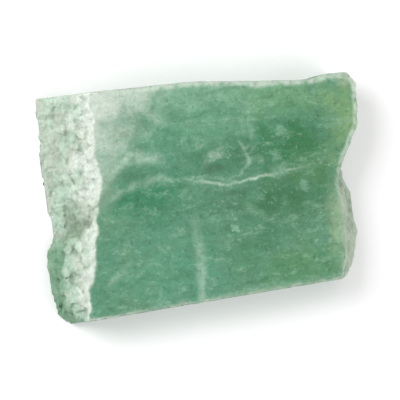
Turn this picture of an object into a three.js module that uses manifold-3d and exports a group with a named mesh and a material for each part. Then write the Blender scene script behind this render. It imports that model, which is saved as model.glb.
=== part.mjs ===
// Green aventurine slab: a plate sawn from fuchsite quartz, lying on one of its two sawn faces.
// Its left end is the rough outside of the block, and its right end is a break.
// Millimetres, +Z up, +X along the sawn edges towards the break, origin at the middle of the base.
import * as THREE from 'three';
import { ImprovedNoise } from 'three/addons/math/ImprovedNoise.js';
import { mergeVertices } from 'three/addons/utils/BufferGeometryUtils.js';
import Module from 'manifold-3d';

const wasm = await Module();
wasm.setup();

// Driving dimensions
const THICKNESS = 10;
const ARRIS = 0.25; // worn edge along the saw cuts

// Sawn outline, as [x, y]. The two ends run past the breaks that cut them off.
const SAWN_OUTLINE = [
  [-45, -25.1],
  [45, -22.0],
  [45, 21.5],
  [34.5, 23.9],
  [30.5, 24.0],
  [26.5, 23.2],
  [22, 23.4],
  [-2, 25.6],
  [-45, 25.9],
];

// Each end slopes between two lines across the slab, as [x, y] from the back edge to the front edge:
// its brow on the top face and its foot on the base.
const ROUGH_BROW = [
  [-25.3, 29], [-25.5, 24.4], [-25.6, 8.3], [-28, -4.3], [-30, -14], [-32.6, -20.6], [-32.4, -28],
];
const ROUGH_FOOT = [
  [-35.2, 29], [-35.6, 24.8], [-36.4, 9.6], [-35.6, -4], [-37.2, -8.5], [-37.4, -15],
  [-36.6, -22], [-33.6, -24.6], [-29, -28],
];
const BROKEN_BROW = [
  [32, 29], [36.2, 22.6], [37.3, 18.2], [36.5, 12.6], [33.8, 6.1], [31, 0.8], [30.4, -4],
  [30, -10], [29.6, -17.9], [28.4, -21.8], [25, -28],
];
const BROKEN_FOOT = [
  [31, 29], [34.8, 22.6], [35.8, 18.2], [35.2, 12.6], [33.4, 6.1], [34.6, 1.2], [36, -4],
  [36.3, -10], [35.3, -17.9], [33.2, -21.8], [28, -28],
];
const LINE_SAMPLES = 240;

// The block that breaks an end off, and the spacing of the points on its cutting face
const BLOCK = { depth: 30, span: 56, overrun: 2, spacing: 0.72 };

// Rough end: lumps, flat-faced flakes of stone, a hollow, and a ledge that stands out in front of it.
// The front half has a steep foot that is calmer than the rest. It takes up a share of the height,
// and covers only part of the run from the foot to the brow.
const ROUGH_LUMPS = [{ size: 5.5, height: 0.9 }, { size: 2.3, height: 0.6 }, { size: 1.5, height: 0.3 }];
const ROUGH_FLAKES = { size: 3.8, height: 1.3, tilt: 0.5 };
const ROUGH_DENTS = [
  { y: -3, z: 5.2, across: 2.9, up: 2.8, depth: 2.3 },
  { y: -6.6, z: 6.6, across: 1.8, up: 2.4, depth: -1 },
];
const STEEP_FOOT = { share: 0.58, run: 0.34, begins: -3, full: -7.5, calm: 0.35, fade: 0.1 };
const ROUGH_LAYER = 0;

// Broken end: smooth swells, a few wide flakes, and faint ripples that spread from where the blow fell
const BROKEN_LUMPS = [{ size: 9, height: 0.9 }, { size: 3.2, height: 0.35 }, { size: 1.6, height: 0.14 }];
const BROKEN_FLAKES = { size: 7.5, height: 0.9, tilt: 0.3 };
const RIPPLES = { y: 25, z: 11, spacing: 4.2, height: 0.09, wander: 1.6 };
const BROKEN_LAYER = 40;

// Strides through the noise that give each flake's seed numbers of its own
const SEED_STRIDE = { across: 3.7, up: 5.3, channel: 2.9, offset: 0.5 };

// Scoops left by flakes knocked off the sawn edges. The pairs are ranges, as shares of the scoop's length
// or of its own half size, and the roll is in radians.
const CHIPS = {
  seed: 7, smallest: 1.2, largest: 5, place: [0.1, 0.9],
  bite: [0.3, 0.5], drop: [0.25, 0.45], outside: [0.3, 0.6], above: [0.1, 0.5], roll: [-0.6, 0.2],
};
const CHIPPED_EDGES = [
  { from: [-23, 25.7], to: [-3, 25.6], z: THICKNESS, outward: 1, count: 6 },
  { from: [0, 25.4], to: [21, 23.5], z: THICKNESS, outward: 1, count: 6 },
  { from: [-31, -24.6], to: [27, -22.6], z: THICKNESS, outward: -1, count: 10 },
  { from: [-33, 25.8], to: [-3, 25.6], z: 0, outward: 1, count: 5 },
  { from: [-31, -24.6], to: [29, -22.6], z: 0, outward: -1, count: 7 },
];

const MERGE_WITHIN = 1e-4;
const noise = new ImprovedNoise();
const { lerp, clamp, smoothstep, seededRandom } = THREE.MathUtils;

// A closed three.js geometry as a solid that can be cut.
function solidOf(geometry) {
  const bare = geometry.clone();
  bare.deleteAttribute('normal');
  bare.deleteAttribute('uv');
  const merged = mergeVertices(bare, MERGE_WITHIN);
  return new wasm.Manifold(new wasm.Mesh({
    numProp: 3,
    vertProperties: new Float32Array(merged.attributes.position.array),
    triVerts: new Uint32Array(merged.index.array),
  }));
}

// A solid as a three.js geometry.
function geometryOf(solid) {
  const { vertProperties, triVerts } = solid.getMesh();
  const geometry = new THREE.BufferGeometry();
  geometry.setAttribute('position', new THREE.BufferAttribute(vertProperties, 3));
  geometry.setIndex(new THREE.BufferAttribute(triVerts, 1));
  geometry.computeVertexNormals();
  return geometry;
}

// The x of a line across the slab at a given y, as a function of y.
function acrossAt(points) {
  const curve = new THREE.SplineCurve(points.map(([x, y]) => new THREE.Vector2(x, y)));
  const samples = curve.getPoints(LINE_SAMPLES);
  return (y) => {
    const next = clamp(samples.findIndex((p) => p.y <= y), 1, LINE_SAMPLES);
    const [above, below] = [samples[next - 1], samples[next]];
    return lerp(below.x, above.x, clamp((y - below.y) / (above.y - below.y), 0, 1));
  };
}

// Rounded lumps of several sizes. The layer keeps the two ends from being alike.
function lumps(sizes, y, z, layer) {
  const lump = ({ size, height }) => height * noise.noise(y / size, z / size, layer + size);
  return sizes.map(lump).reduce((sum, level) => sum + level);
}

// One of the numbers, from -1 to 1, that belong to the flake seed in column u and row v.
function seedNumber(u, v, layer, channel) {
  const { across, up, channel: stride, offset } = SEED_STRIDE;
  return noise.noise(u * across + offset, v * up + offset, layer + channel * stride + offset);
}

// Flat flakes with steps between them: the plane of the nearest of a scattered set of seeds.
function flakes({ size, height, tilt }, y, z, layer) {
  const [column, row] = [Math.floor(y / size), Math.floor(z / size)];
  let nearest = { distance: Infinity, level: 0 };
  for (let u = column - 1; u <= column + 1; u++) {
    for (let v = row - 1; v <= row + 1; v++) {
      const [shiftY, shiftZ, level, tiltY, tiltZ] = [1, 2, 3, 4, 5].map((n) => seedNumber(u, v, layer, n));
      const dy = y - size * (u + 0.5 + shiftY);
      const dz = z - size * (v + 0.5 + shiftZ);
      const distance = Math.hypot(dy, dz);
      if (distance < nearest.distance) {
        nearest = { distance, level: height * level + tilt * (dy * tiltY + dz * tiltZ) };
      }
    }
  }
  return nearest.level;
}

// Rounded hollows, and ledges where the depth is negative.
function dents(places, y, z) {
  const dent = (place) => {
    const off = Math.hypot((y - place.y) / place.across, (z - place.z) / place.up);
    return place.depth * Math.exp(-off * off);
  };
  return places.map(dent).reduce((sum, depth) => sum + depth);
}

// The block that breaks one end off, with its cutting face at x = reach(y, z). Side -1 is the left end.
function breakingBlock(side, reach) {
  const height = THICKNESS + 2 * BLOCK.overrun;
  const block = new THREE.BoxGeometry(BLOCK.depth, BLOCK.span, height,
    1, Math.round(BLOCK.span / BLOCK.spacing), Math.round(height / BLOCK.spacing));
  block.translate(0, 0, THICKNESS / 2);
  const position = block.attributes.position;
  for (let i = 0; i < position.count; i++) {
    const isCuttingFace = side * position.getX(i) < 0;
    const outside = side * 2 * BLOCK.depth;
    position.setX(i, isCuttingFace ? reach(position.getY(i), position.getZ(i)) : outside);
  }
  return solidOf(block);
}

// The plate as the saw left it.
function sawnPlate() {
  const outline = new THREE.Shape(SAWN_OUTLINE.map(([x, y]) => new THREE.Vector2(x, y)));
  const plate = new THREE.ExtrudeGeometry(outline, {
    depth: THICKNESS - 2 * ARRIS,
    bevelThickness: ARRIS,
    bevelSize: ARRIS,
    bevelOffset: -ARRIS,
    bevelSegments: 1,
  });
  plate.translate(0, 0, ARRIS);
  return solidOf(plate);
}

// The rough outside of the block: a lumpy slope, steep at the foot of its front half.
function roughEnd() {
  const brow = acrossAt(ROUGH_BROW);
  const foot = acrossAt(ROUGH_FOOT);
  return breakingBlock(-1, (y, z) => {
    const height = z / THICKNESS;
    const front = 1 - smoothstep(y, STEEP_FOOT.full, STEEP_FOOT.begins);
    const { share, run } = STEEP_FOOT;
    const stepped = height < share ? run * height / share : lerp(run, 1, (height - share) / (1 - share));
    const climb = lerp(height, stepped, front);
    const rise = clamp(height / (share * front + STEEP_FOOT.fade), 0, 1);
    const relief = lumps(ROUGH_LUMPS, y, z, ROUGH_LAYER) + flakes(ROUGH_FLAKES, y, z, ROUGH_LAYER);
    return lerp(foot(y), brow(y), climb) + dents(ROUGH_DENTS, y, z) + lerp(STEEP_FOOT.calm, 1, rise) * relief;
  });
}

// The break at the other end: a twisted face with swells, flakes and ripples.
function brokenEnd() {
  const brow = acrossAt(BROKEN_BROW);
  const foot = acrossAt(BROKEN_FOOT);
  return breakingBlock(1, (y, z) => {
    const relief = lumps(BROKEN_LUMPS, y, z, BROKEN_LAYER) + flakes(BROKEN_FLAKES, y, z, BROKEN_LAYER);
    const wander = RIPPLES.wander * noise.noise(y / RIPPLES.spacing, z / RIPPLES.spacing, 0);
    const away = Math.hypot(y - RIPPLES.y, z - RIPPLES.z) + wander;
    const ripple = RIPPLES.height * Math.sin(2 * Math.PI * away / RIPPLES.spacing);
    return lerp(foot(y), brow(y), z / THICKNESS) + relief + ripple;
  });
}

// One scoop, where a flake came off a sawn edge. Short ones are more common than long ones.
function chip({ from, to, z, outward, count }, index) {
  const within = ([low, high]) => lerp(low, high, seededRandom());
  const upward = z > 0 ? 1 : -1;
  const along = (index + within(CHIPS.place)) / count;
  const length = lerp(CHIPS.smallest, CHIPS.largest, seededRandom() ** 2);
  const bite = length * within(CHIPS.bite);
  const drop = length * within(CHIPS.drop);
  const scoop = new THREE.IcosahedronGeometry(1, 1);
  scoop.rotateZ(within([0, Math.PI]));
  scoop.scale(length / 2, bite, drop);
  scoop.rotateX(outward * upward * within(CHIPS.roll));
  scoop.translate(
    lerp(from[0], to[0], along),
    lerp(from[1], to[1], along) + outward * bite * within(CHIPS.outside),
    z + upward * drop * within(CHIPS.above),
  );
  return solidOf(scoop);
}

// All the scoops along the sawn edges.
function edgeChips() {
  seededRandom(CHIPS.seed);
  return CHIPPED_EDGES.flatMap((edge) => Array.from({ length: edge.count }, (_, index) => chip(edge, index)));
}

// The slab: the sawn plate with both ends broken off and its edges chipped, centred over its base.
function slab() {
  const cuts = [roughEnd(), brokenEnd(), ...edgeChips()];
  const geometry = geometryOf(cuts.reduce((stone, cut) => stone.subtract(cut), sawnPlate()));
  geometry.computeBoundingBox();
  const middle = geometry.boundingBox.getCenter(new THREE.Vector3());
  geometry.translate(-middle.x, -middle.y, 0);
  const aventurine = new THREE.MeshStandardMaterial({ color: '#63997a', roughness: 0.45, metalness: 0 });
  const mesh = new THREE.Mesh(geometry, aventurine);
  mesh.name = 'slab';
  return mesh;
}

const greenAventurineSlab = new THREE.Group();
greenAventurineSlab.add(slab());

export default greenAventurineSlab;
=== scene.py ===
"""Looks of the green aventurine slab: one piece of sawn stone on a pale studio floor.

Blender reads metres. Sizes of the stone and of its patterns are in millimetres, in the same frame: x runs
from the rough end to the broken end, y from the front to the back, and z from the underside to the top face.
"""

import logging
import math
from dataclasses import asdict, dataclass
from enum import Enum
from typing import Any

import bmesh
import bpy
import numpy as np
from mathutils import Color, Matrix, Vector
from mathutils.bvhtree import BVHTree


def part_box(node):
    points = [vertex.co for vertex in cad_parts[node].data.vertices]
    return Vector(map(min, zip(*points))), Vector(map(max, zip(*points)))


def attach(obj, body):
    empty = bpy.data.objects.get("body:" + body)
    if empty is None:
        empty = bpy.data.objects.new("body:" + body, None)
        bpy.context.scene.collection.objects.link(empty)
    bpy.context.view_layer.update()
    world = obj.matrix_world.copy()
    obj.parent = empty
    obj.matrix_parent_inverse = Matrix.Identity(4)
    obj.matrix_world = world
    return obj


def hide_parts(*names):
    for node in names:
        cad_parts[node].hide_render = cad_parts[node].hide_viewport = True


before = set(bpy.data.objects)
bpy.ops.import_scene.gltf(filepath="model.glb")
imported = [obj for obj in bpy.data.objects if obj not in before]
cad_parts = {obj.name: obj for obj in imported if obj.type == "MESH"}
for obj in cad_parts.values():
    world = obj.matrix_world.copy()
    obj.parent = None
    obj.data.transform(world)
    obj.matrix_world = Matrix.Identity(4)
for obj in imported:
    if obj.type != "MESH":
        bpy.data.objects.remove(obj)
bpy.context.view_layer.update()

# One millimetre, and a distance that is well outside the stone, in metres
MM = 0.001
FAR = 1.0
NOISE_MIDDLE = 0.5
STUDIO_GAIN = 1.36
STUDIO_GLARE = 0.015

Colour = tuple[float, float, float, float]
Point = tuple[float, float, float]

log = logging.getLogger("aventurine_slab")


class Mark(Enum):
    """What the stone's mesh notes at each of its corners."""

    BROKEN = "broken"
    EDGE = "edge_sharpness"
    STAND = "stands_out"
    LEVEL = "relief_level"


class Term:
    """A node's output that can stand in sums and products."""

    def __init__(self, graph: "NodeGraph", socket: bpy.types.NodeSocket) -> None:
        """Keep the socket and the graph that it is in."""
        self.graph = graph
        self.socket = socket

    def __add__(self, other: "Term | float") -> "Term":
        """Return self + other."""
        return self.graph.maths("ADD", self, other)

    def __radd__(self, other: float) -> "Term":
        """Return other + self."""
        return self.graph.maths("ADD", other, self)

    def __sub__(self, other: "Term | float") -> "Term":
        """Return self - other."""
        return self.graph.maths("SUBTRACT", self, other)

    def __rsub__(self, other: float) -> "Term":
        """Return other - self."""
        return self.graph.maths("SUBTRACT", other, self)

    def __mul__(self, other: "Term | float") -> "Term":
        """Return self * other."""
        return self.graph.maths("MULTIPLY", self, other)

    def __rmul__(self, other: float) -> "Term":
        """Return other * self."""
        return self.graph.maths("MULTIPLY", other, self)

    def __truediv__(self, other: "Term | float") -> "Term":
        """Return self / other."""
        return self.graph.maths("DIVIDE", self, other)

    def __rtruediv__(self, other: float) -> "Term":
        """Return other / self."""
        return self.graph.maths("DIVIDE", other, self)

    def __abs__(self) -> "Term":
        """Return the size of self without its sign."""
        return self.graph.maths("ABSOLUTE", self)


class Node:
    """A node of a graph, whose outputs are picked by name or place."""

    def __init__(self, graph: "NodeGraph", made: bpy.types.Node) -> None:
        """Keep the node and the graph that it is in."""
        self.graph = graph
        self.made = made

    def __getitem__(self, key: str | int) -> Term:
        """Return one output."""
        return Term(self.graph, self.made.outputs[key])


class NodeGraph:
    """A shader or geometry node tree that is written as expressions."""

    def __init__(self, tree: bpy.types.NodeTree) -> None:
        """Keep the tree that the nodes go in."""
        self.tree = tree

    def node(
        self,
        kind: str,
        settings: dict[str, Any] | None = None,
        sockets: dict[str | int, Any] | None = None,
    ) -> Node:
        """Add a node.

        Args:
            kind: The node's type.
            settings: Its own settings, where points are those of a curve.
            sockets: Values or terms for its inputs, by name or place.

        Returns:
            The node.
        """
        made = self.tree.nodes.new(kind)
        for name, value in (settings or {}).items():
            if name == "points":
                self._set_curve(made, value)
            else:
                setattr(made, name, value)
        for key, value in (sockets or {}).items():
            if isinstance(value, Term):
                self.tree.links.new(value.socket, made.inputs[key])
            else:
                made.inputs[key].default_value = value
        return Node(self, made)

    @staticmethod
    def _set_curve(made: bpy.types.Node, points: list[tuple[float, float]]) -> None:
        """Give a curve node its points.

        Args:
            made: The node.
            points: The points, from left to right, in a square from 0 to 1.
        """
        curve = made.mapping.curves[0]
        while len(curve.points) < len(points):
            curve.points.new(*points[0])
        for handle, place in zip(curve.points, points):
            handle.location = place
        made.mapping.update()

    def maths(self, operation: str, *terms: "Term | float") -> Term:
        """Return one step of arithmetic on numbers."""
        return self.node("ShaderNodeMath", {"operation": operation}, dict(enumerate(terms)))[0]

    def vectors(self, operation: str, *terms: "Term | Point") -> Node:
        """Return one step of arithmetic on vectors."""
        return self.node("ShaderNodeVectorMath", {"operation": operation}, dict(enumerate(terms)))

    def scaled(self, term: Term, factor: "Term | float") -> Term:
        """Return a vector or a colour times a number."""
        settings = {"operation": "SCALE"}
        return self.node("ShaderNodeVectorMath", settings, {"Vector": term, "Scale": factor})[0]

    def parts(self, term: Term) -> tuple[Term, Term, Term]:
        """Return the three numbers of a vector or a colour."""
        split = self.node("ShaderNodeSeparateXYZ", None, {0: term})
        return split[0], split[1], split[2]

    def step(self, term: Term, low: "Term | float", high: "Term | float", strength: float = 1.0) -> Term:
        """Return a smooth step.

        Args:
            term: What is read.
            low: The reading where the step is 0.
            high: The reading where the step is at its strength, above low or below it.
            strength: The height of the step.

        Returns:
            The step.
        """
        settings = {"interpolation_type": "SMOOTHSTEP"}
        sockets = {"Value": term, "From Min": low, "From Max": high, "To Max": strength}
        return self.node("ShaderNodeMapRange", settings, sockets)[0]

    def noise(
        self,
        place: Term,
        size: "Term | float",
        detail: float = 2.0,
        roughness: float = 0.5,
        warp: float = 0.0,
    ) -> Term:
        """Return noise from about 0 to 1.

        Args:
            place: Where it is read, in millimetres.
            size: How far apart its lumps are.
            detail: How many finer layers it has.
            roughness: How strong the finer layers are.
            warp: How far the lumps are pulled out of shape.

        Returns:
            The noise.
        """
        sockets = {
            "Vector": place,
            "Scale": 1 / size,
            "Detail": detail,
            "Roughness": roughness,
            "Distortion": warp,
        }
        return self.node("ShaderNodeTexNoise", {"noise_dimensions": "3D"}, sockets)[0]

    def swing(self, place: Term, size: "Term | float", reach: "Term | float", detail: float = 2.0) -> Term:
        """Return noise between about -reach and reach."""
        return (self.noise(place, size, detail) - NOISE_MIDDLE) * (reach / NOISE_MIDDLE)

    def cells(self, place: Term, size: "Term | float") -> Node:
        """Return a pattern of cells that are about size across."""
        settings = {"voronoi_dimensions": "3D", "feature": "F1"}
        return self.node("ShaderNodeTexVoronoi", settings, {"Vector": place, "Scale": 1 / size})

    def facets(self, place: Term, size: "Term | float") -> Term:
        """Return the level of flat facets that are tilted at random.

        Args:
            place: Where it is read, in millimetres.
            size: How far the facets are across, about.

        Returns:
            The level, in millimetres, for facets with a steepness of up to a half each way.
        """
        cell = self.cells(place, size)
        away = self.vectors("SUBTRACT", place, cell["Position"])[0]
        tilt = self.vectors("SUBTRACT", cell["Color"], (NOISE_MIDDLE, NOISE_MIDDLE, NOISE_MIDDLE))[0]
        return self.vectors("DOT_PRODUCT", away, tilt)["Value"]

    def mix(self, factor: "Term | float", first: "Term | Colour", second: "Term | Colour") -> Term:
        """Return a colour between two colours.

        Args:
            factor: The share of the second colour, from 0 to 1.
            first: The first colour.
            second: The second colour.

        Returns:
            The colour.
        """
        factor_place, first_place, second_place, colour_out = 0, 6, 7, 2
        settings = {"data_type": "RGBA", "clamp_factor": True}
        sockets = {factor_place: factor, first_place: first, second_place: second}
        return self.node("ShaderNodeMix", settings, sockets)[colour_out]


@dataclass(frozen=True)
class Noise:
    """A cloudy pattern, by how far apart its lumps are, in millimetres, and how it is made up."""

    size: float
    detail: float = 3.0
    roughness: float = 0.5
    warp: float = 0.0

    def at(self, graph: NodeGraph, place: Term) -> Term:
        """Return the pattern at a place, from about 0 to 1."""
        return graph.noise(place, self.size, self.detail, self.roughness, self.warp)


@dataclass(frozen=True)
class Fade:
    """A smooth change from nothing at one reading to full strength at another."""

    starts: float
    full: float
    strength: float = 1.0

    def of(self, graph: NodeGraph, reading: Term) -> Term:
        """Return how strong it is at a reading."""
        return graph.step(reading, self.starts, self.full, self.strength)


def paint(code: str) -> Colour:
    """Turn a colour as it looks in the studio into the values that shaders read.

    A level face looks brighter than its own colour by the studio's gain, and has some glare on it.

    Args:
        code: The colour as #rrggbb.

    Returns:
        Linear red, green and blue with the glare and the gain taken off, and an alpha of 1.
    """
    seen = Color([channel / 255 for channel in bytes.fromhex(code[1:])])
    linear = seen.from_srgb_to_scene_linear()
    red, green, blue = (max(0.0, value - STUDIO_GLARE) / STUDIO_GAIN for value in linear)
    return red, green, blue, 1.0


class Run(Enum):
    """The way that a vein runs over the sawn face, as the axis that it follows."""

    ALONG = 0
    ACROSS = 1


@dataclass(frozen=True)
class Vein:
    """A pale healed crack that goes through the stone as a thin sheet, in millimetres.

    The points are its course on the top face, as distance along its run and place across it. It wanders
    off its course, leans, is broken up, has a cloudy halo on both sides, and fades out at each end.
    """

    run: Run
    points: tuple[tuple[float, float], ...]
    width: float
    strength: float
    halo: float = 0.18
    halo_width: float = 2.2
    wander: float = 0.35
    wander_size: float = 2.6
    wander_detail: float = 3.0
    lean: float = 0.15
    fade: float = 4.0
    course_margin: float = 1.0
    breaks: Noise = Noise(2.8, 4.0, 0.6)
    unbroken: Fade = Fade(0.3, 0.65)
    clouds: Noise = Noise(1.8)
    clouded: Fade = Fade(0.3, 0.7)

    def gap(self, graph: NodeGraph, place: Term, top: float) -> Term:
        """Return the distance from a place to the vein.

        Args:
            graph: The tree to write in.
            place: The place, in millimetres.
            top: The height of the top face.

        Returns:
            The distance, in millimetres, positive on one side and negative on the other.
        """
        axes = graph.parts(place)
        along, across = axes[self.run.value], axes[1 - self.run.value]
        start, end = self.points[0][0], self.points[-1][0]
        levels = [level for _, level in self.points]
        low, high = min(levels) - self.course_margin, max(levels) + self.course_margin
        course = [((a - start) / (end - start), (level - low) / (high - low)) for a, level in self.points]
        share = (along - start) / (end - start)
        curve = graph.node("ShaderNodeFloatCurve", {"points": course}, {"Value": share})[0]
        path = curve * (high - low) + low
        wander = graph.swing(place, self.wander_size, self.wander, self.wander_detail)
        return across - path - wander - (axes[2] - top) * self.lean

    def reach(self, graph: NodeGraph, place: Term) -> Term:
        """Return where along its run the vein is.

        Args:
            graph: The tree to write in.
            place: The place, in millimetres.

        Returns:
            1 along the vein, and less where it fades out at its ends.
        """
        along = graph.parts(place)[self.run.value]
        start, end = self.points[0][0], self.points[-1][0]
        return graph.step(along, start, start + self.fade) * graph.step(along, end, end - self.fade)

    def mask(self, graph: NodeGraph, place: Term, top: float) -> Term:
        """Return how much of the vein shows.

        Args:
            graph: The tree to write in.
            place: The place, in millimetres.
            top: The height of the top face.

        Returns:
            The share of the vein's colour, from 0 to 1.
        """
        gap = abs(self.gap(graph, place, top))
        line = graph.step(gap, self.width, 0.0) * self.unbroken.of(graph, self.breaks.at(graph, place))
        cloud = self.clouded.of(graph, self.clouds.at(graph, place))
        halo = graph.step(gap, self.halo_width, 0.0, self.halo) * cloud
        return (line + halo) * self.reach(graph, place) * self.strength


@dataclass(frozen=True)
class Zone:
    """A part of the stone with a colour of its own, in millimetres.

    Where its colour ends, where it is full and how ragged its edge is are shares of its reach.
    """

    centre: Point
    reach: Point
    colour: str
    strength: float
    ragged: float = 0.7
    ragged_size: float = 5.0
    ragged_detail: float = 4.0
    ends: float = 1.15
    full: float = 0.2

    def mask(self, graph: NodeGraph, place: Term) -> Term:
        """Return how much of the zone's colour shows.

        Args:
            graph: The tree to write in.
            place: The place, in millimetres.

        Returns:
            The share of the zone's colour, from 0 to its strength.
        """
        away = graph.vectors("SUBTRACT", place, self.centre)[0]
        distance = graph.vectors("LENGTH", graph.vectors("DIVIDE", away, self.reach)[0])["Value"]
        edge = graph.swing(place, self.ragged_size, self.ragged, self.ragged_detail)
        return graph.step(distance + edge, self.ends, self.full, self.strength)

    def over(self, graph: NodeGraph, place: Term, colour: Term) -> Term:
        """Return a colour with the zone's own laid over it."""
        return graph.mix(self.mask(graph, place), colour, paint(self.colour))


def pale_spot(x: float, y: float, strength: float) -> Zone:
    """Return a small ragged spot on the top face, at a place in millimetres."""
    centre, reach = (x, y, 10.0), (1.4, 1.6, 3.0)
    return Zone(centre, reach, "#8abb9c", strength, ragged=1.8, ragged_size=1.3)


MAIN_CRACK = Vein(
    Run.ALONG,
    ((-10.0, 4.8), (-4.8, 3.1), (0.0, 2.0), (4.0, 1.3), (9.0, 1.7), (13.0, 2.4), (18.0, 2.8), (26.0, 3.7)),
    width=0.6,
    strength=0.95,
    wander=0.8,
    fade=13.0,
)
SIDE_VEINS = (
    Vein(
        Run.ALONG,
        ((13.0, 2.4), (18.0, 2.8), (26.0, 3.7), (32.0, 4.5)),
        width=0.6,
        strength=0.3,
        wander=0.8,
    ),
    Vein(
        Run.ALONG,
        ((-27.0, 3.0), (-23.5, 5.9), (-21.0, 8.6), (-18.5, 9.6), (-16.5, 9.9), (-14.0, 9.1), (-9.0, 8.6)),
        width=2.16,
        strength=0.75,
        halo=0.5,
        halo_width=3.0,
        wander=0.9,
        fade=6.0,
    ),
    Vein(
        Run.ALONG,
        ((-27.0, 0.3), (-22.0, 2.1), (-18.7, 3.0), (-13.0, 4.0), (-8.0, 4.4)),
        width=1.68,
        strength=0.4,
        wander=1.2,
    ),
    Vein(
        Run.ACROSS,
        ((-38.0, -5.8), (-26.0, -5.4), (-14.0, -4.7), (-2.0, -5.3)),
        width=1.92,
        strength=0.55,
        wander=0.5,
        fade=13.0,
    ),
    Vein(
        Run.ALONG,
        ((-28.0, -18.4), (-19.0, -12.6)),
        width=1.32,
        strength=0.45,
        wander=0.8,
        fade=3.0,
    ),
    Vein(
        Run.ALONG,
        ((-2.4, 6.0), (1.0, 7.9), (4.6, 9.2)),
        width=1.92,
        strength=0.8,
        wander=0.5,
        fade=1.8,
    ),
    Vein(
        Run.ACROSS,
        ((1.5, 6.6), (4.0, 7.6), (5.8, 9.4), (8.0, 8.7), (12.0, 7.2)),
        width=0.96,
        strength=0.4,
        wander=0.6,
        fade=2.5,
    ),
    Vein(
        Run.ACROSS,
        ((5.0, 12.6), (12.0, 10.8), (20.0, 11.6)),
        width=1.2,
        strength=0.2,
        wander=1.0,
    ),
)
# Broad zones of green, under the patches and flecks; the yellow-green one at the right end is a painted glow
ZONES = (
    Zone((0.0, 16.0, 5.0), (26.0, 9.0, 16.0), "#6aa885", 0.8),
    Zone((4.0, 25.0, 9.0), (34.0, 8.0, 14.0), "#8abd9c", 0.75),
    Zone((20.0, 19.0, 6.0), (13.0, 5.5, 12.0), "#74aa78", 0.85),
    Zone((20.0, 9.0, 6.0), (15.0, 8.5, 12.0), "#317d4a", 0.95),
    Zone((4.0, 7.0, 6.0), (12.0, 5.5, 12.0), "#3f815b", 0.75),
    Zone((-16.0, 0.0, 6.0), (13.0, 6.5, 12.0), "#2f875f", 0.9),
    Zone((-12.0, -17.0, 6.0), (19.0, 10.0, 14.0), "#5ca07f", 0.8),
    Zone((0.0, -4.0, 6.0), (9.0, 6.5, 12.0), "#4b8664", 0.7),
    Zone((6.0, -14.0, 6.0), (9.0, 7.0, 12.0), "#4f9069", 0.6),
    Zone((18.0, -3.5, 6.0), (16.0, 9.0, 12.0), "#36794b", 0.9),
    Zone((20.0, -19.0, 6.0), (15.0, 7.0, 12.0), "#54925d", 0.8),
    Zone((11.0, -11.0, 6.0), (11.0, 5.0, 12.0), "#478760", 0.65),
    Zone((25.0, 2.2, 6.0), (10.0, 4.5, 12.0), "#508a54", 0.8),
    # Painted glow: yellow-green where light shines through the stone at the right end
    Zone((35.5, 14.0, 5.0), (9.0, 17.0, 14.0), "#84ae74", 0.9),
    Zone((32.0, -12.0, 5.0), (6.5, 15.0, 14.0), "#a8c39b", 0.85),
)
# Dark and pale veils over the flecks, the pale corner and small spots, and a painted shadow under the main
# crack
VEILS = (
    Zone((-17.0, 5.6, 9.0), (7.0, 2.2, 6.0), "#4f8a68", 0.7),
    Zone((0.5, 5.0, 9.0), (5.0, 1.6, 6.0), "#4a7c5e", 0.7),
    # Painted shadow: the dark band just under the main crack
    Zone((5.3, -0.7, 9.5), (5.0, 1.1, 4.0), "#4a7c5e", 0.7),
    Zone((-25.5, 13.5, 9.0), (7.0, 11.0, 14.0), "#b8d2be", 0.75, ragged=0.8),
    Zone((-26.0, 3.0, 9.0), (4.2, 5.5, 6.0), "#96b49a", 0.65, ragged=0.8),
    Zone((-28.0, 26.0, 9.0), (20.5, 16.5, 14.0), "#dbe8da", 0.97, ragged=0.44),
    Zone((34.8, 22.4, 9.0), (4.5, 3.0, 6.0), "#b3c6a8", 0.7, ragged=1.0),
    pale_spot(4.7, -8.3, 0.9),
    pale_spot(21.5, -1.0, 0.5),
    pale_spot(17.8, 11.8, 0.6),
    pale_spot(16.3, 6.3, 0.45),
    pale_spot(18.0, -8.0, 0.4),
)
# Painted shade in the hollow of the rough end, and lighter painted shade on the rim above it
PAINTED_HOLLOW_SHADE = (
    Zone((-32.0, -3.8, 5.0), (7.0, 4.6, 4.4), "#7d9a78", 0.75, ragged=1.0),
    Zone((-28.5, -0.6, 9.0), (4.5, 3.8, 4.0), "#9ab594", 0.75, ragged=1.0),
)


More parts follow.
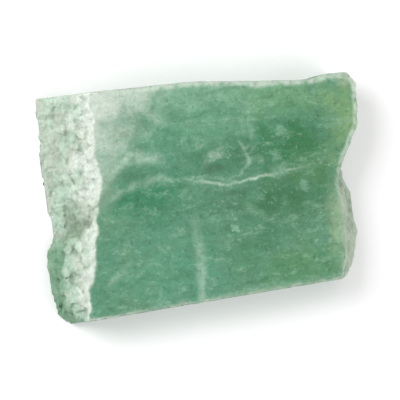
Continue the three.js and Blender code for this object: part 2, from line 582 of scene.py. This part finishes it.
@dataclass(frozen=True)
class Rind:
    """The chalky outside of the rough end: white on mint and grey, with painted shade where it sinks in, and
    a green foot.

    It covers the end along x. Its shades follow y and z, and its foot is the low part of the front half.
    """

    white: str = "#edf7eb"
    mint: str = "#cae5cf"
    grey: str = "#cad8c6"
    green: str = "#67a078"
    cover: Fade = Fade(-20.0, -24.5, 0.95)
    streak_shape: Point = (1.0, 0.5, 0.7)
    streaks: Noise = Noise(3.0, 4.0, 0.6, 0.8)
    minty: Fade = Fade(0.4, 0.6)
    lump_share: float = 0.6
    drifts: Noise = Noise(6.0)
    drift_share: float = 0.6
    mid_height: float = 5.5
    whiter_per_mm: float = 0.045
    rim: Fade = Fade(7.5, 9.5, 0.1)
    back_shade: Fade = Fade(8.0, 15.0, 0.05)
    front: Fade = Fade(-4.5, -8.5)
    front_shade: float = 0.15
    whitened: Fade = Fade(0.5, 0.76)
    foot: Fade = Fade(7.5, 4.1, 0.9)
    foot_swing: float = 1.5
    foot_swing_size: float = 2.8
    foot_swing_detail: float = 3.0
    foot_mottle: Fade = Fade(0.3, 0.8, 0.25)
    hollows: tuple[Zone, ...] = PAINTED_HOLLOW_SHADE

    def colour(self, graph: NodeGraph, place: Term, lumps: Term) -> Term:
        """Return the rind's colour.

        Args:
            graph: The tree to write in.
            place: Where it is read, in millimetres.
            lumps: How high the stone's lumps are there, from noise and from painted light and shade of the
                relief, about 0.5 on average.

        Returns:
            The colour.
        """
        stretched = graph.vectors("MULTIPLY", place, self.streak_shape)[0]
        minty = self.minty.of(graph, self.streaks.at(graph, stretched))
        colour = graph.mix(minty, paint(self.grey), paint(self.mint))
        white = self.whitened.of(graph, self.whiteness(graph, place, lumps))
        colour = graph.mix(white, colour, paint(self.white))
        # Painted shade over the hollow and the rim above it
        for hollow_shade in self.hollows:
            colour = hollow_shade.over(graph, place, colour)
        mottled = graph.mix(self.foot_mottle.of(graph, lumps), paint(self.green), paint(self.mint))
        return graph.mix(self.foot_mask(graph, place), colour, mottled)

    def whiteness(self, graph: NodeGraph, place: Term, lumps: Term) -> Term:
        """Return how white the rind is: most on lumps, which carry a painted highlight on raised parts, and
        high up, and less at the back and in front.

        Args:
            graph: The tree to write in.
            place: Where it is read, in millimetres.
            lumps: How high the stone's lumps are there, with painted light and shade from the relief.

        Returns:
            The whiteness, about 0.6 on average.
        """
        _, y, z = graph.parts(place)
        on_lumps = lumps * self.lump_share + self.drifts.at(graph, place) * self.drift_share
        high_up = (z - self.mid_height) * self.whiter_per_mm + self.rim.of(graph, z)
        shade = self.back_shade.of(graph, y) + self.front.of(graph, y) * self.front_shade
        return on_lumps + high_up - shade

    def foot_mask(self, graph: NodeGraph, place: Term) -> Term:
        """Return how much of the green foot shows.

        Args:
            graph: The tree to write in.
            place: Where it is read, in millimetres.

        Returns:
            The share of the foot's colour, from 0 to 1.
        """
        _, y, z = graph.parts(place)
        swing = graph.swing(place, self.foot_swing_size, self.foot_swing, self.foot_swing_detail)
        return self.foot.of(graph, z + swing) * self.front.of(graph, y)


@dataclass(frozen=True)
class EdgeWearAndHighlight:
    """The pale, rubbed edges of the sawn faces, patchy, and most along the back and the top: partly wear,
    partly a painted highlight where those edges catch the light.
    """

    colour: str = "#d8e8d8"
    edge: Fade = Fade(0.01, 0.075)
    patches: Noise = Noise(2.0)
    patchy: Fade = Fade(0.32, 0.62, 0.7)
    least: float = 0.15
    # Stronger along the back: painted highlight where the back edges catch the light
    back: Fade = Fade(-15.0, 20.0, 0.8)
    front: float = 0.2
    # Stronger at the top: painted highlight where the upper edges catch the light
    upper: Fade = Fade(2.0, 6.0, 0.55)
    lower: float = 0.45
    sawn: Fade = Fade(-27.0, -21.0)

    def over(self, graph: NodeGraph, place: Term, edge: Term, colour: Term) -> Term:
        """Return a colour with the wear and the painted edge highlight laid over it.

        Args:
            graph: The tree to write in.
            place: Where it is read, in millimetres.
            edge: How sharp an edge is there, as the mesh notes it.
            colour: The colour under it.

        Returns:
            The colour.
        """
        x, y, z = graph.parts(place)
        rubbed = self.patchy.of(graph, self.patches.at(graph, place)) + self.least
        rubbed = rubbed * (self.back.of(graph, y) + self.front)
        rubbed = rubbed * (self.upper.of(graph, z) + self.lower)
        worn_and_lit = self.edge.of(graph, edge) * rubbed * self.sawn.of(graph, x)
        return graph.mix(worn_and_lit, colour, paint(self.colour))


@dataclass(frozen=True)
class Skin:
    """The gloss and the finest bumps of the stone, in millimetres."""

    roughness: float = 0.5
    mica_size: float = 0.6
    mica_gloss: Fade = Fade(0.85, 0.95, 0.1)
    grain: Noise = Noise(0.45, 3.0, 0.6)
    grain_height: float = 0.05
    facet_size: float = 0.8
    facet_tilt: float = 0.08
    crystal_size: float = 0.9
    crystal_tilt: float = 0.25
    crystal_grain: Noise = Noise(0.8, 4.0, 0.65)
    crystal_grain_height: float = 0.3

    def gloss(self, graph: NodeGraph, place: Term, broken: Term) -> Term:
        """Return the roughness: semi-matt, and glossier at flakes of mica where the stone is sawn."""
        _, mica, _ = graph.parts(graph.cells(place, self.mica_size)["Color"])
        return self.roughness - self.mica_gloss.of(graph, mica) * (1 - broken)

    def bump(self, graph: NodeGraph, place: Term, broken: Term) -> Term:
        """Return the normal: fine grain all over, and small crystal faces where broken.

        Args:
            graph: The tree to write in.
            place: Where it is read, in millimetres.
            broken: How broken the surface is there, from 0 to 1.

        Returns:
            The normal.
        """
        grain = self.grain.at(graph, place) * self.grain_height
        facets = graph.facets(place, self.facet_size) * self.facet_tilt
        crystals = graph.facets(place, self.crystal_size) * self.crystal_tilt
        crystal_grain = self.crystal_grain.at(graph, place) * self.crystal_grain_height
        height = grain + facets + broken * (crystals + crystal_grain)
        return graph.node("ShaderNodeBump", None, {"Strength": 1.0, "Distance": MM, "Height": height})[0]


@dataclass(frozen=True)
class AventurineFinish:
    """Fuchsite quartz: milky green, with grains, flecks of mica, pale veins and a chalky rind."""

    name: str = "aventurine"
    green: str = "#659b78"
    teal: str = "#5c9b7b"
    clouds: Noise = Noise(13.0, 4.0, 0.55, 0.5)
    greener: Fade = Fade(0.35, 0.65)
    flow: Point = (0.5, 1.0, 1.0)
    patches: Noise = Noise(2.4, 6.0, 0.68, 0.6)
    pale: str = "#8fbf9e"
    pale_patches: Fade = Fade(0.5, 0.75, 0.5)
    dark: str = "#35734b"
    dark_patches: Fade = Fade(0.5, 0.25, 0.55)
    vein: str = "#b9d8c2"
    threads: Noise = Noise(4.5, 4.0, 0.6, 1.2)
    thread_width: float = 0.035
    thread_patches: Fade = Fade(0.45, 0.6, 0.25)
    fleck: str = "#2a6543"
    flecks: Noise = Noise(1.15, 3.0, 0.6)
    fleck_cover: Fade = Fade(0.58, 0.72, 0.4)
    # Painted glints: pale specks that stand for light glinting off grains of quartz
    glint: str = "#a9cdb2"
    glints: Noise = Noise(0.9, 3.0, 0.6)
    glint_cover: Fade = Fade(0.6, 0.74, 0.45)
    grain_size: float = 0.65
    grain_contrast: float = 0.2
    fine_grain: Noise = Noise(0.5, 3.0, 0.6)
    fine_contrast: float = 0.32
    fresh: str = "#d0dcc8"
    relief_share: float = 0.5
    lumps: Noise = Noise(2.8, 4.0, 0.6)
    # Share of the relief in the lumps: painted light on raised parts and painted shade in sunken places
    painted_relief_light_share: float = 0.3
    fresh_lumps: Fade = Fade(0.35, 0.65, 0.55)
    fresh_least: float = 0.3
    # Painted shade in the pits of the broken surface
    pits: Fade = Fade(0.1, -0.5, 0.28)
    milkiness: float = 0.25
    glow_radius: float = 1.2
    glow_colours: Point = (0.8, 1.0, 0.85)
    refraction: float = 1.544
    zones: tuple[Zone, ...] = ZONES
    veils: tuple[Zone, ...] = VEILS
    veins: tuple[Vein, ...] = (MAIN_CRACK, *SIDE_VEINS)
    rind: Rind = Rind()
    wear: EdgeWearAndHighlight = EdgeWearAndHighlight()
    skin: Skin = Skin()

    def material(self, top: float) -> bpy.types.Material:
        """Build the stone's material.

        Args:
            top: The height of the top face, in millimetres.

        Returns:
            The material.
        """
        made = bpy.data.materials.new(self.name)
        made.use_nodes = True
        made.node_tree.nodes.clear()
        graph = NodeGraph(made.node_tree)
        place = graph.scaled(graph.node("ShaderNodeTexCoord")["Object"], 1 / MM)
        noted = {}
        for mark in Mark:
            noted[mark] = graph.node("ShaderNodeAttribute", {"attribute_name": mark.value})["Fac"]
        colour = self.stone_colour(graph, place, top)
        colour = self.broken_colour(graph, place, colour, noted)
        colour = self.grained(graph, place, colour)
        # Pale edges: partly wear, partly painted highlight
        colour = self.wear.over(graph, place, noted[Mark.EDGE], colour)
        shader = graph.node(
            "ShaderNodeBsdfPrincipled",
            {"subsurface_method": "RANDOM_WALK"},
            {
                "Base Color": colour,
                "Roughness": self.skin.gloss(graph, place, noted[Mark.BROKEN]),
                "Normal": self.skin.bump(graph, place, noted[Mark.BROKEN]),
                "IOR": self.refraction,
                "Subsurface Weight": self.milkiness,
                "Subsurface Radius": self.glow_colours,
                "Subsurface Scale": self.glow_radius * MM,
            },
        )
        graph.node("ShaderNodeOutputMaterial", None, {"Surface": shader["BSDF"]})
        return made

    def stone_colour(self, graph: NodeGraph, place: Term, top: float) -> Term:
        """Return the colour inside the stone: clouds, zones, patches, threads, flecks, veils and veins.

        Args:
            graph: The tree to write in.
            place: Where it is read, in millimetres.
            top: The height of the top face.

        Returns:
            The colour.
        """
        greener = self.greener.of(graph, self.clouds.at(graph, place))
        colour = graph.mix(greener, paint(self.teal), paint(self.green))
        for zone in self.zones:
            colour = zone.over(graph, place, colour)
        flowing = graph.vectors("MULTIPLY", place, self.flow)[0]
        patches = self.patches.at(graph, flowing)
        colour = graph.mix(self.pale_patches.of(graph, patches), colour, paint(self.pale))
        colour = graph.mix(self.dark_patches.of(graph, patches), colour, paint(self.dark))
        threads = graph.step(abs(self.threads.at(graph, flowing) - NOISE_MIDDLE), self.thread_width, 0.0)
        colour = graph.mix(threads * self.thread_patches.of(graph, patches), colour, paint(self.vein))
        flecks = self.fleck_cover.of(graph, self.flecks.at(graph, place))
        colour = graph.mix(flecks, colour, paint(self.fleck))
        # Painted glints: pale specks in the colour
        glints = self.glint_cover.of(graph, self.glints.at(graph, place))
        colour = graph.mix(glints, colour, paint(self.glint))
        for veil in self.veils:
            colour = veil.over(graph, place, colour)
        for vein in self.veins:
            colour = graph.mix(vein.mask(graph, place, top), colour, paint(self.vein))
        return colour

    def broken_colour(self, graph: NodeGraph, place: Term, colour: Term, noted: dict[Mark, Term]) -> Term:
        """Lay the paler breaks, the rind of the rough end and painted shade in the pits over a colour.

        Args:
            graph: The tree to write in.
            place: Where it is read, in millimetres.
            colour: The colour inside the stone.
            noted: What the mesh notes there.

        Returns:
            The colour.
        """
        x, _, _ = graph.parts(place)
        broken = noted[Mark.BROKEN]
        proud = noted[Mark.STAND] + noted[Mark.LEVEL] * self.relief_share
        # Lumps mix random noise with how far the surface stands out: painted highlight on raised parts,
        # painted shade in sunken places
        lumps = self.lumps.at(graph, place) + proud * self.painted_relief_light_share
        fresh = broken * (self.fresh_lumps.of(graph, lumps) + self.fresh_least)
        colour = graph.mix(fresh, colour, paint(self.fresh))
        rind = broken * self.rind.cover.of(graph, x)
        colour = graph.mix(rind, colour, self.rind.colour(graph, place, lumps))
        # Painted shade: darker where the broken surface sinks below its neighbours
        return graph.scaled(colour, 1 - broken * self.pits.of(graph, proud))

    def grained(self, graph: NodeGraph, place: Term, colour: Term) -> Term:
        """Return a colour with the light and dark of single grains of quartz.

        Args:
            graph: The tree to write in.
            place: Where it is read, in millimetres.
            colour: The colour without grains.

        Returns:
            The colour.
        """
        grain, _, _ = graph.parts(graph.cells(place, self.grain_size)["Color"])
        fine = self.fine_grain.at(graph, place)
        darkest = 1 - NOISE_MIDDLE * (self.grain_contrast + self.fine_contrast)
        return graph.scaled(colour, darkest + grain * self.grain_contrast + fine * self.fine_contrast)


@dataclass(frozen=True)
class Relief:
    """The fine relief of the stone, in millimetres, made by one geometry tree.

    It is calmer towards the broken end, by the places along x where it is calm and lively. The groove along
    the main crack is only on the upper face, and ends and is full at shares of the slab's height.
    """

    seed: float = 3.0
    lump_size: float = 3.6
    lump_height: float = 0.45
    crystal_size: float = 1.9
    crystal_tilt: float = 0.6
    grain_size: float = 0.8
    grain_height: float = 0.15
    calm_share: float = 0.35
    calm_place: float = 12.0
    lively_place: float = -12.0
    groove_width: float = 0.7
    groove_depth: float = 0.12
    groove_ends: float = 0.6
    groove_full: float = 0.9

    def level(self, graph: NodeGraph, place: Term, given: Node) -> Term:
        """Return the level of the broken surface: lumps, crystal faces and grain.

        Args:
            graph: The tree to write in.
            place: Where it is read, in millimetres.
            given: The tree's inputs.

        Returns:
            The level, in millimetres.
        """
        x, _, _ = graph.parts(place)
        offset = graph.node("ShaderNodeCombineXYZ", None, {0: given["Seed"], 1: given["Seed"]})[0]
        drawn = graph.vectors("ADD", place, offset)[0]
        lumps = graph.swing(drawn, given["Lump size"], given["Lump height"])
        crystals = graph.facets(drawn, given["Crystal size"]) * given["Crystal tilt"]
        grain = graph.swing(drawn, given["Grain size"], given["Grain height"])
        calm = given["Calm share"]
        lively = calm + graph.step(x, given["Calm place"], given["Lively place"]) * (1 - calm)
        return (lumps + crystals + grain) * lively

    def groove(self, graph: NodeGraph, place: Term, given: Node, top: float) -> Term:
        """Return how deep the groove along the main crack is.

        Args:
            graph: The tree to write in.
            place: Where it is read, in millimetres.
            given: The tree's inputs.
            top: The height of the top face.

        Returns:
            The depth, in millimetres.
        """
        _, _, height = graph.parts(place)
        upper = graph.step(height, given["Groove ends"] * top, given["Groove full"] * top)
        near = graph.step(abs(MAIN_CRACK.gap(graph, place, top)), given["Groove width"], 0.0)
        return near * upper * MAIN_CRACK.reach(graph, place) * given["Groove depth"]

    def write(self, graph: NodeGraph, top: float) -> None:
        """Write the nodes that move the surface, note its level and set its material.

        Args:
            graph: The tree to write in.
            top: The height of the top face, in millimetres.
        """
        given = graph.node("NodeGroupInput")
        here = graph.node("GeometryNodeInputPosition")[0]
        place = graph.scaled(here, 1 / MM)
        number = {"data_type": "FLOAT"}
        broken = graph.node("GeometryNodeInputNamedAttribute", number, {"Name": Mark.BROKEN.value})[0]
        level = self.level(graph, place, given)
        sunk = self.groove(graph, place, given, top) * (1 - broken)
        shift = graph.scaled(graph.node("GeometryNodeInputNormal")[0], (broken * level - sunk) * MM)
        moved = graph.vectors("ADD", here, shift)[0]
        above_base = graph.vectors("MAXIMUM", moved, (-FAR, -FAR, 0.0))[0]
        kept = graph.vectors("MINIMUM", above_base, (FAR, FAR, top * MM))[0]
        noted = graph.node(
            "GeometryNodeStoreNamedAttribute",
            number | {"domain": "POINT"},
            {"Geometry": given["Geometry"], "Name": Mark.LEVEL.value, "Value": level},
        )[0]
        placed = graph.node("GeometryNodeSetPosition", None, {"Geometry": noted, "Position": kept})[0]
        whole = graph.node("GeometryNodeRealizeInstances", None, {"Geometry": placed})[0]
        dressing = {"Geometry": whole, "Material": given["Finish"]}
        dressed = graph.node("GeometryNodeSetMaterial", None, dressing)[0]
        graph.node("NodeGroupOutput", None, {0: dressed})

    def put_on(self, piece: bpy.types.Object, finish: bpy.types.Material, top: float) -> None:
        """Carve the relief into a piece and dress it, leaving a plain mesh.

        Args:
            piece: The piece, with its marks.
            finish: The material that it gets.
            top: The height of the top face, in millimetres.
        """
        tree = bpy.data.node_groups.new("stone_relief", "GeometryNodeTree")
        for side in ("INPUT", "OUTPUT"):
            tree.interface.new_socket("Geometry", in_out=side, socket_type="NodeSocketGeometry")
        values = {}
        for field, size in asdict(self).items():
            name = field.replace("_", " ").capitalize()
            socket = tree.interface.new_socket(name, in_out="INPUT", socket_type="NodeSocketFloat")
            values[socket.identifier] = size
        socket = tree.interface.new_socket("Finish", in_out="INPUT", socket_type="NodeSocketMaterial")
        values[socket.identifier] = finish
        self.write(NodeGraph(tree), top)
        modifier = piece.modifiers.new("relief", "NODES")
        modifier.node_group = tree
        for identifier, value in values.items():
            modifier[identifier] = value
        ready = piece.evaluated_get(bpy.context.evaluated_depsgraph_get())
        plain = bpy.data.meshes.new_from_object(ready)
        piece.modifiers.remove(modifier)
        piece.data = plain


@dataclass
class Slab:
    """The stone itself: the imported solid, refined, marked, given its relief and dressed.

    Lengths are in millimetres. A face counts as sawn by how far its normal points up or to a long side, and
    the rounds say how often numbers at the corners are blended with their neighbours.
    """

    name: str = "aventurine_slab"
    node: str = "slab"
    body: str = "root"
    slot: str = "aventurine"
    merge_distance: float = 0.001
    spacing: float = 0.34
    flat_face: float = 0.999
    sawn_side: float = 0.97
    upright: float = 0.05
    soften_rounds: int = 3
    blend_rounds: int = 2
    sharp_rounds: int = 1
    sharp_gain: float = 4.0
    edge_rounds: int = 18
    stand_rounds: int = 40

    def build(self, finish: AventurineFinish, relief: Relief) -> bpy.types.Object:
        """Make the piece and tie it to the frame.

        Args:
            finish: The stone's finish.
            relief: The stone's fine relief.

        Returns:
            The finished piece.
        """
        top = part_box(self.node)[1].z / MM
        solid = self.solid()
        mesh = self.refined(solid)
        self.mark(mesh, solid)
        piece = bpy.data.objects.new(self.name, mesh)
        bpy.context.scene.collection.objects.link(piece)
        relief.put_on(piece, finish.material(top), top)
        piece.data.shade_smooth()
        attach(piece, self.body)
        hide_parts(self.node)
        return piece

    def solid(self) -> bpy.types.Mesh:
        """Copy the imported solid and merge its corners.

        Returns:
            The copy.
        """
        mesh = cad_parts[self.node].data.copy()
        corners = bmesh.new()
        corners.from_mesh(mesh)
        bmesh.ops.remove_doubles(corners, verts=corners.verts, dist=self.merge_distance * MM)
        corners.to_mesh(mesh)
        corners.free()
        return mesh

    def refined(self, solid: bpy.types.Mesh) -> bpy.types.Mesh:
        """Turn the solid into an even mesh of small faces.

        Args:
            solid: The solid.

        Returns:
            The even mesh.
        """
        holder = bpy.data.objects.new("refining", solid)
        bpy.context.scene.collection.objects.link(holder)
        remesh = holder.modifiers.new("even_faces", "REMESH")
        remesh.mode = "VOXEL"
        remesh.voxel_size = self.spacing * MM
        ready = holder.evaluated_get(bpy.context.evaluated_depsgraph_get())
        mesh = bpy.data.meshes.new_from_object(ready)
        bpy.data.objects.remove(holder)
        return mesh

    def mark(self, mesh: bpy.types.Mesh, solid: bpy.types.Mesh) -> None:
        """Set the even mesh on the solid, and mark what is broken, what lies on a sharp edge, and what is
        proud.

        Args:
            mesh: The even mesh.
            solid: The solid that it was made from.
        """
        tree = BVHTree.FromPolygons([v.co for v in solid.vertices], [p.vertices for p in solid.polygons])
        normals = np.array([p.normal for p in solid.polygons])
        level = np.abs(normals[:, 2]) > self.flat_face
        side = (np.abs(normals[:, 1]) > self.sawn_side) & (np.abs(normals[:, 2]) < self.upright)
        found = [tree.find_nearest(v.co) for v in mesh.vertices]
        sawn = (level | side)[[face for _, _, face, _ in found]]
        on_solid = np.array([place for place, _, _, _ in found])
        edges = np.array([e.vertices for e in mesh.edges])
        places = np.array([v.co for v in mesh.vertices])
        softened = self.blended(places, edges, self.soften_rounds)
        places = np.where(sawn[:, None], on_solid, softened)
        mesh.vertices.foreach_set("co", places.astype(np.float32).ravel())
        mesh.update()
        sharp = self.proud(mesh, places, edges, self.sharp_rounds) / (self.spacing * MM)
        sharp = np.maximum(0.0, self.sharp_gain * sharp)
        self.note(mesh, Mark.BROKEN, self.blended(1.0 - sawn, edges, self.blend_rounds))
        self.note(mesh, Mark.EDGE, self.blended(sharp, edges, self.edge_rounds))
        self.note(mesh, Mark.STAND, self.proud(mesh, places, edges, self.stand_rounds) / MM)

    @staticmethod
    def blended(values: np.ndarray, edges: np.ndarray, rounds: int) -> np.ndarray:
        """Blend values at the corners with their neighbours, half and half.

        Args:
            values: One number, or one row of numbers, for each corner.
            edges: The two corners of each edge.
            rounds: How many times they are blended.

        Returns:
            The blended values.
        """
        ends = np.concatenate([edges, edges[:, ::-1]])
        counts = np.bincount(ends[:, 0])
        columns = np.atleast_2d(np.asarray(values, float).T)
        for _ in range(rounds):
            sums = [np.bincount(ends[:, 0], column[ends[:, 1]]) for column in columns]
            columns = (columns + np.array(sums) / counts) / 2
        return columns.T.reshape(np.shape(values))

    def proud(self, mesh: bpy.types.Mesh, places: np.ndarray, edges: np.ndarray, rounds: int) -> np.ndarray:
        """Return how far each corner stands out of the blended surface, in metres."""
        normals = np.array([v.normal for v in mesh.vertices])
        return np.einsum("ij,ij->i", places - self.blended(places, edges, rounds), normals)

    @staticmethod
    def note(mesh: bpy.types.Mesh, mark: Mark, values: np.ndarray) -> None:
        """Keep one number for each corner of a mesh."""
        attribute = mesh.attributes.new(mark.value, "FLOAT", "POINT")
        attribute.data.foreach_set("value", values.astype(np.float32))


@dataclass(frozen=True)
class Softbox:
    """A square studio light that is aimed at the stone, in metres and watts."""

    name: str
    place: Point
    size: float
    power: float

    def build(self, target: Vector) -> None:
        """Hang the light and aim it.

        Args:
            target: Where it is aimed.
        """
        data = bpy.data.lights.new(self.name, "AREA")
        data.size = self.size
        data.energy = self.power
        lamp = bpy.data.objects.new(self.name, data)
        lamp.location = self.place
        lamp.rotation_euler = (target - Vector(self.place)).to_track_quat("-Z", "Y").to_euler()
        lamp.visible_camera = False
        bpy.context.scene.collection.objects.link(lamp)


@dataclass
class Studio:
    """The pale floor, the soft lights and the camera, in metres and degrees."""

    floor_half: float = 1.5
    floor_colour: Colour = (0.9, 0.9, 0.9, 1.0)
    floor_roughness: float = 0.9
    floor_shine: float = 0.1
    sky_colour: Colour = (1.0, 1.0, 1.0, 1.0)
    daylight: float = 0.68
    lens: float = 300.0
    nearest: float = 0.01
    distance: float = 0.75
    tilt: float = 18.0
    turn: float = 7.0
    target: Point = (-0.0015, -0.0015, 0.005)
    softboxes: tuple[Softbox, ...] = (
        Softbox("key", (-0.45, 0.25, 0.42), 0.35, 3.1),
        Softbox("fill", (0.4, -0.3, 0.42), 0.6, 1.7),
    )

    def build(self) -> None:
        """Set up everything around the stone."""
        self.floor()
        self.sky()
        for softbox in self.softboxes:
            softbox.build(Vector(self.target))
        self.camera()
        bpy.context.scene.view_settings.view_transform = "Standard"

    def floor(self) -> None:
        """Lay the floor."""
        half = self.floor_half
        corners = [(-half, -half, 0), (half, -half, 0), (half, half, 0), (-half, half, 0)]
        mesh = bpy.data.meshes.new("floor")
        mesh.from_pydata(corners, [], [(0, 1, 2, 3)])
        paper = bpy.data.materials.new("floor_paper")
        paper.use_nodes = True
        shader = paper.node_tree.nodes["Principled BSDF"]
        shader.inputs["Base Color"].default_value = self.floor_colour
        shader.inputs["Roughness"].default_value = self.floor_roughness
        shader.inputs["Specular IOR Level"].default_value = self.floor_shine
        mesh.materials.append(paper)
        floor = bpy.data.objects.new("floor", mesh)
        bpy.context.scene.collection.objects.link(floor)

    def sky(self) -> None:
        """Fill the room with even white light."""
        world = bpy.data.worlds.new("studio")
        world.use_nodes = True
        sky = world.node_tree.nodes["Background"]
        sky.inputs["Color"].default_value = self.sky_colour
        sky.inputs["Strength"].default_value = self.daylight
        bpy.context.scene.world = world

    def camera(self) -> None:
        """Hang the camera over the slab, leaning towards its rough end."""
        tilt, turn = math.radians(self.tilt), math.radians(self.turn)
        level = Vector((math.cos(tilt), 0.0, math.sin(tilt)))
        across = Vector((0.0, 1.0, 0.0))
        right = math.cos(turn) * level - math.sin(turn) * across
        up = math.sin(turn) * level + math.cos(turn) * across
        back = right.cross(up)
        data = bpy.data.cameras.new("camera")
        data.lens = self.lens
        data.clip_start = self.nearest
        camera = bpy.data.objects.new("camera", data)
        camera.matrix_world = Matrix((right, up, back)).transposed().to_4x4()
        camera.location = Vector(self.target) + back * self.distance
        bpy.context.scene.collection.objects.link(camera)
        bpy.context.scene.camera = camera


def main() -> None:
    """Build the slab and the studio, and note the sizes."""
    logging.basicConfig(level=logging.INFO)
    piece = Slab().build(AventurineFinish(), Relief())
    log.info("%s: %d faces", piece.name, len(piece.data.polygons))
    Studio().build()
    log.info("studio: floor, lights and camera")


if __name__ == "__main__":
    main()
